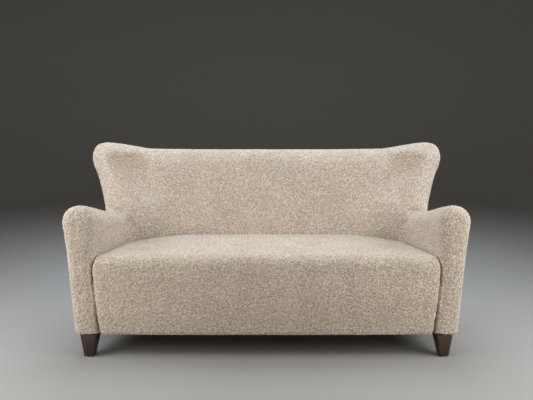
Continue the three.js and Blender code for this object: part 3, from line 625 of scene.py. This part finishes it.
def looped_pile(settings):
    """Ivory looped pile with fine curls on each nub; painted shade darkens the colour between the loops and
    round each curl
    """
    material, tree, shader = new_material("looped_pile")
    place = object_place(tree)
    pile = add_node(tree, "ShaderNodeAttribute", {}, attribute_name="pile").outputs["Fac"]
    clumps = add_node(tree, "ShaderNodeTexNoise",
                      {"Vector": place, "Scale": CLUMPS, "Detail": 1.0, "Roughness": 0.5})
    curls = add_node(tree, "ShaderNodeTexVoronoi", {"Vector": place, "Scale": CURLS})
    loops = spread(tree, curls.outputs["Distance"], 0.05, 0.75, 0.24, 0.0)
    both = add_node(tree, "ShaderNodeMath", {0: pile, 1: 0.35, 2: clumps.outputs[0]}, operation="MULTIPLY_ADD")
    relief = add_node(tree, "ShaderNodeMath", {0: both.outputs[0], 1: loops}, operation="ADD").outputs[0]
    tone = spread(tree, relief, 0.52, 1.08, 0.0, 1.0)
    # Painted shade: where the pile is low the colour goes to the darker hollow shade colour, where it is high
    # to the pile's own colour
    base = mix_colors(tree, tone, settings.hollow_shade_color, settings.pile_color)
    clouds = add_node(tree, "ShaderNodeTexNoise", {"Vector": place, "Scale": CLOUDS, "Detail": 3.0})
    shade = spread(tree, clouds.outputs[0], 0.3, 0.7, 0.93, 1.04)
    toned = add_node(tree, "ShaderNodeVectorMath", {0: base, "Scale": shade}, operation="SCALE")
    tree.links.new(toned.outputs[0], shader.inputs["Base Color"])
    add_bump(tree, shader, relief, 0.8, 0.003)
    shader.inputs["Roughness"].default_value = 0.95
    shader.inputs["Specular IOR Level"].default_value = 0.15
    shader.inputs["Sheen Weight"].default_value = 0.35
    shader.inputs["Sheen Roughness"].default_value = 0.45
    shader.inputs["Sheen Tint"].default_value = (1.0, 0.96, 0.9, 1)
    return material


def grained_wood(name, light, dark, across, along, roughness, ring=0.6, coat=0.0):
    """Wood with long grain: across and along are how many grain lines lie in a metre each way"""
    material, tree, shader = new_material(name)
    place = object_place(tree)
    stretched = add_node(tree, "ShaderNodeMapping", {"Vector": place, "Scale": along})
    lines = add_node(tree, "ShaderNodeTexNoise",
                     {"Vector": stretched.outputs[0], "Scale": across, "Detail": 5.0, "Roughness": 0.65,
                      "Distortion": ring}).outputs[0]
    streak = spread(tree, lines, 0.36, 0.66, 0.0, 1.0)
    tree.links.new(mix_colors(tree, streak, dark, light), shader.inputs["Base Color"])
    gloss = spread(tree, lines, 0.3, 0.7, roughness + 0.12, roughness)
    tree.links.new(gloss, shader.inputs["Roughness"])
    add_bump(tree, shader, lines, 0.25, 0.0006)
    shader.inputs["Coat Weight"].default_value = coat
    shader.inputs["Coat Roughness"].default_value = 0.3
    return material


def woven_cloth(name, light, dark, threads):
    """A plain weave: threads is how many threads lie in a metre"""
    material, tree, shader = new_material(name)
    place = object_place(tree)
    lie = {"Vector": place, "Scale": threads / 20, "Distortion": 0.4}
    warp, weft = (add_node(tree, "ShaderNodeTexWave", lie, bands_direction=way).outputs[1] for way in "XY")
    both = add_node(tree, "ShaderNodeMath", {0: warp, 1: weft}, operation="MULTIPLY").outputs[0]
    lint = add_node(tree, "ShaderNodeTexNoise", {"Vector": place, "Scale": 60.0, "Detail": 3.0})
    share = add_node(tree, "ShaderNodeMath", {0: both, 1: lint.outputs[0]}, operation="ADD")
    tone = spread(tree, share.outputs[0], 0.3, 1.3, 0.0, 1.0)
    tree.links.new(mix_colors(tree, tone, dark, light), shader.inputs["Base Color"])
    add_bump(tree, shader, both, 0.6, 0.0004)
    shader.inputs["Roughness"].default_value = 0.85
    return material


def mottled(name, light, dark, scale, roughness, metallic=0.0):
    """An even finish with a faint mottle, such as plating, foam or moulded plastic"""
    material, tree, shader = new_material(name)
    place = object_place(tree)
    spots = add_node(tree, "ShaderNodeTexNoise", {"Vector": place, "Scale": scale, "Detail": 4.0}).outputs[0]
    tree.links.new(mix_colors(tree, spots, dark, light), shader.inputs["Base Color"])
    worn = spread(tree, spots, 0.3, 0.7, roughness - 0.06, roughness + 0.06)
    tree.links.new(worn, shader.inputs["Roughness"])
    add_bump(tree, shader, spots, 0.4, 0.0001)
    shader.inputs["Metallic"].default_value = metallic
    return material


def finish_with(piece, material):
    piece.data.materials.clear()
    piece.data.materials.append(material)
    return piece


class SETTEE_OT_camera(bpy.types.Operator):
    """Stands the camera where the photograph was taken from"""

    bl_idname = "settee.camera"
    bl_label = "Camera"

    def execute(self, context):
        settings = context.scene.settee_stage
        camera = link(bpy.data.objects.new("camera", bpy.data.cameras.new("camera")))
        camera.location = (0, -settings.camera_distance, settings.camera_height)
        camera.rotation_euler = (pi / 2 - settings.camera_tilt, 0, 0)
        camera.data.sensor_width = settings.sensor_width
        camera.data.lens = settings.lens_pixels * settings.sensor_width / settings.picture_width
        context.scene.camera = camera
        return {"FINISHED"}


class SETTEE_OT_seat(bpy.types.Operator):
    """Upholsters the tight seat: its crown, front roll and border in one cover"""

    bl_idname = "settee.seat"
    bl_label = "Seat"

    def execute(self, context):
        settings = context.scene.settee_upholstery
        seat = make_padding("seat", SEAT_NODES, SEAT_FOAM, BODY_COVERS, settings.seat_close_rise, settings)
        shown = shown_points(seat.data, SEAT_FOAM, BODY_COVERS, settings)
        dress(seat, shown, settings)
        finish_with(seat, looped_pile(settings))
        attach(seat, "root")
        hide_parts(*SEAT_NODES)
        return {"FINISHED"}


class SETTEE_OT_body(bpy.types.Operator):
    """Upholsters the back, its wings and the arms, which flow into each other, with their outside panels"""

    bl_idname = "settee.body"
    bl_label = "Back and arms"

    def execute(self, context):
        settings = context.scene.settee_upholstery
        shaping = (shape_wings, lower_arm_tops, ease_arm_edges, ease_wing_sides)
        body = make_padding("back_and_arms", BODY_NODES + POSTS, BODY_FOAM, SEAT_COVERS,
                            settings.front_close_rise, settings, ("outside_back",), shaping)
        tuck_in(body.data, settings)
        points = points_of(body.data)
        seam = distances(points, surface_of(*BODY_COVERS)) + distances(points, surface_of(*PANELS))
        shown = shown_points(body.data, BODY_FOAM, SEAT_COVERS, settings)
        dress(body, shown, settings, seam)
        finish_with(body, bpy.data.materials["looped_pile"])
        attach(body, "root")
        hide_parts(*BODY_NODES)
        return {"FINISHED"}


class SETTEE_OT_legs(bpy.types.Operator):
    """Turns out the four tapered legs with eased edges, in dark stained walnut"""

    bl_idname = "settee.legs"
    bl_label = "Legs"

    def execute(self, context):
        settings = context.scene.settee_wood
        walnut = grained_wood("leg_walnut", settings.stain_color, settings.grain_color, 60.0, (1, 1, 0.09),
                              0.36, ring=0.4, coat=0.35)
        for name in (f"leg_{end}_{side}" for end in ENDS for side in SIDES):
            leg = merged_copy(f"walnut_{name}", (name,))
            shape = bmesh.new()
            shape.from_mesh(leg.data)
            low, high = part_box(name)
            middle = (low + high) / 2
            bmesh.ops.translate(shape, verts=shape.verts, vec=-middle)
            bmesh.ops.scale(shape, verts=shape.verts, vec=(settings.leg_fullness, settings.leg_fullness, 1))
            bmesh.ops.translate(shape, verts=shape.verts, vec=middle)
            bmesh.ops.dissolve_limit(shape, angle_limit=radians(1), verts=shape.verts, edges=shape.edges)
            sharp = [edge for edge in shape.edges if edge.calc_face_angle(0) > radians(30)]
            bmesh.ops.bevel(shape, geom=sharp, offset=settings.leg_edge, segments=3, affect="EDGES",
                            profile=0.5, material=-1, clamp_overlap=True)
            shape.to_mesh(leg.data)
            shape.free()
            leg.data.shade_smooth()
            leg.data.set_sharp_from_angle(angle=radians(28))
            finish_with(leg, walnut)
            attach(leg, "root")
            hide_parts(name)
        return {"FINISHED"}


class SETTEE_OT_frame(bpy.types.Operator):
    """Finishes the parts under the cloth: boards, webbing, deck cloth, dust cover and leg fittings"""

    bl_idname = "settee.frame"
    bl_label = "Frame"

    def execute(self, context):
        long_x = grained_wood("beech_x", *BEECH, 70.0, (0.06, 1, 1), 0.62)
        long_y = grained_wood("beech_y", *BEECH, 70.0, (1, 0.06, 1), 0.62)
        long_z = grained_wood("beech_z", *BEECH, 70.0, (1, 1, 0.06), 0.62)
        finishes = {
            "front_rail": long_x, "rear_rail": long_x, "back_top_rail": long_x, "back_lower_rail": long_x,
            "center_stretcher": long_y, "side_rail": long_y, "arm_rail": long_y,
            "arm_post": long_z, "corner_block": long_z, "back_upright": long_z, "wing_stile": long_z,
            "seat_strap": woven_cloth("webbing", (0.06, 0.06, 0.07), (0.012, 0.012, 0.014), 900),
            "deck_cloth": woven_cloth("deck_cloth", (0.36, 0.3, 0.22), (0.2, 0.16, 0.11), 1400),
            "dust_cover": woven_cloth("dust_cloth", (0.035, 0.035, 0.036), (0.012, 0.012, 0.013), 1800),
            "leg_glide": mottled("nylon", (0.03, 0.03, 0.03), (0.018, 0.018, 0.018), 300.0, 0.5),
            "leg_plate": mottled("zinc", (0.62, 0.63, 0.66), (0.45, 0.46, 0.49), 180.0, 0.34, 1.0),
        }
        finishes["leg_bolt"] = finishes["leg_plate"]
        for name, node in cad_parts.items():
            start = next((start for start in finishes if name.startswith(start)), None)
            if start:
                finish_with(node, finishes[start])
        return {"FINISHED"}


def studio_dish(settings):
    """A round floor that curves up into a low wall all round, so that no view meets an edge"""
    dish = bmesh.new()
    radius, bend = settings.floor_radius, settings.wall_bend
    turns = [pi / 2 * step / BEND_STEPS for step in range(1, BEND_STEPS + 1)]
    outline = [(0, 0), (radius, 0)]
    outline += [(radius + bend * sin(turn), bend * (1 - cos(turn))) for turn in turns]
    outline += [(radius + bend, settings.wall_height)]
    corners = [dish.verts.new((x, 0, z)) for x, z in outline]
    lines = [dish.edges.new(pair) for pair in zip(corners, corners[1:])]
    bmesh.ops.spin(dish, geom=corners + lines, cent=(0, 0, 0), axis=(0, 0, 1), angle=tau,
                   steps=FLOOR_SIDES, use_merge=True)
    bmesh.ops.remove_doubles(dish, verts=dish.verts, dist=1e-4)
    bmesh.ops.recalc_face_normals(dish, faces=dish.faces)
    if max(dish.faces, key=lambda face: -face.calc_center_median().length).normal.z < 0:
        bmesh.ops.reverse_faces(dish, faces=dish.faces)
    mesh = bpy.data.meshes.new("studio_floor")
    dish.to_mesh(mesh)
    dish.free()
    mesh.shade_smooth()
    light, dark = ([share * value for value in settings.floor_color] for share in (1.03, 0.97))
    floor = link(bpy.data.objects.new("studio_floor", mesh))
    return finish_with(floor, mottled("floor", light, dark, 3.0, 0.8))


def soft_light(name, place, aim, size, power, color):
    """A square studio light that faces a point"""
    lamp = bpy.data.lights.new(name, "AREA")
    lamp.size = size
    lamp.energy = power
    lamp.color = color
    light = link(bpy.data.objects.new(name, lamp))
    light.location = place
    light.rotation_euler = (Vector(place) - Vector(aim)).to_track_quat("Z", "Y").to_euler()
    light.visible_camera = False


class SETTEE_OT_stage(bpy.types.Operator):
    """Lays a plain pale floor and hangs soft studio lights"""

    bl_idname = "settee.stage"
    bl_label = "Stage"

    def execute(self, context):
        settings = context.scene.settee_stage
        studio_dish(settings)
        world = bpy.data.worlds.new("room")
        world.use_nodes = True
        world.node_tree.nodes["Background"].inputs["Color"].default_value = (*settings.room_color, 1)
        context.scene.world = world
        context.scene.view_settings.view_transform = "Standard"
        soft_light("top_light", (0, -0.2, 2.3), (0, 0, 0), 3.2, settings.top_power, MILD)
        soft_light("rear_light", (0, 1.3, 2.6), (0, 0, 0.5), 2.4, settings.rear_power, COLD)
        for side, way in (("right", 1), ("left", -1)):
            soft_light(f"{side}_front_light", (way * 2.0, -1.1, 1.15), (way * 0.85, -0.3, 0.5), 1.0,
                       settings.front_power, EVEN)
            soft_light(f"{side}_light", (way * 2.3, -0.4, 1.35), (way * 0.85, 0, 0.62), 1.0,
                       settings.side_power, EVEN)
            soft_light(f"{side}_low_light", (way * 1.6, -1.7, 0.7), (way * 0.75, -0.3, 0.35), 0.9,
                       settings.low_power, WARM)
        return {"FINISHED"}


STEPS = (SETTEE_OT_camera, SETTEE_OT_seat, SETTEE_OT_body, SETTEE_OT_legs, SETTEE_OT_frame, SETTEE_OT_stage)


class SETTEE_PT_panel(bpy.types.Panel):
    """Lists the settee's steps in the 3D view's sidebar"""

    bl_label = "Settee"
    bl_space_type = "VIEW_3D"
    bl_region_type = "UI"
    bl_category = "Settee"

    def draw(self, context):
        for step in STEPS:
            self.layout.operator(step.bl_idname)
        for group in (context.scene.settee_upholstery, context.scene.settee_wood, context.scene.settee_stage):
            box = self.layout.box()
            for name in group.__annotations__:
                box.prop(group, name)


SETTINGS = {
    "settee_upholstery": UpholsterySettings,
    "settee_wood": WoodSettings,
    "settee_stage": StageSettings,
}


def register():
    for group in (*SETTINGS.values(), *STEPS, SETTEE_PT_panel):
        bpy.utils.register_class(group)
    for name, group in SETTINGS.items():
        setattr(bpy.types.Scene, name, PointerProperty(type=group))


def unregister():
    for name in SETTINGS:
        delattr(bpy.types.Scene, name)
    for group in reversed((*SETTINGS.values(), *STEPS, SETTEE_PT_panel)):
        bpy.utils.unregister_class(group)


def main():
    register()
    bpy.ops.settee.camera()
    bpy.ops.settee.seat()
    bpy.ops.settee.body()
    bpy.ops.settee.legs()
    bpy.ops.settee.frame()
    bpy.ops.settee.stage()


if __name__ == "__main__":
    main()
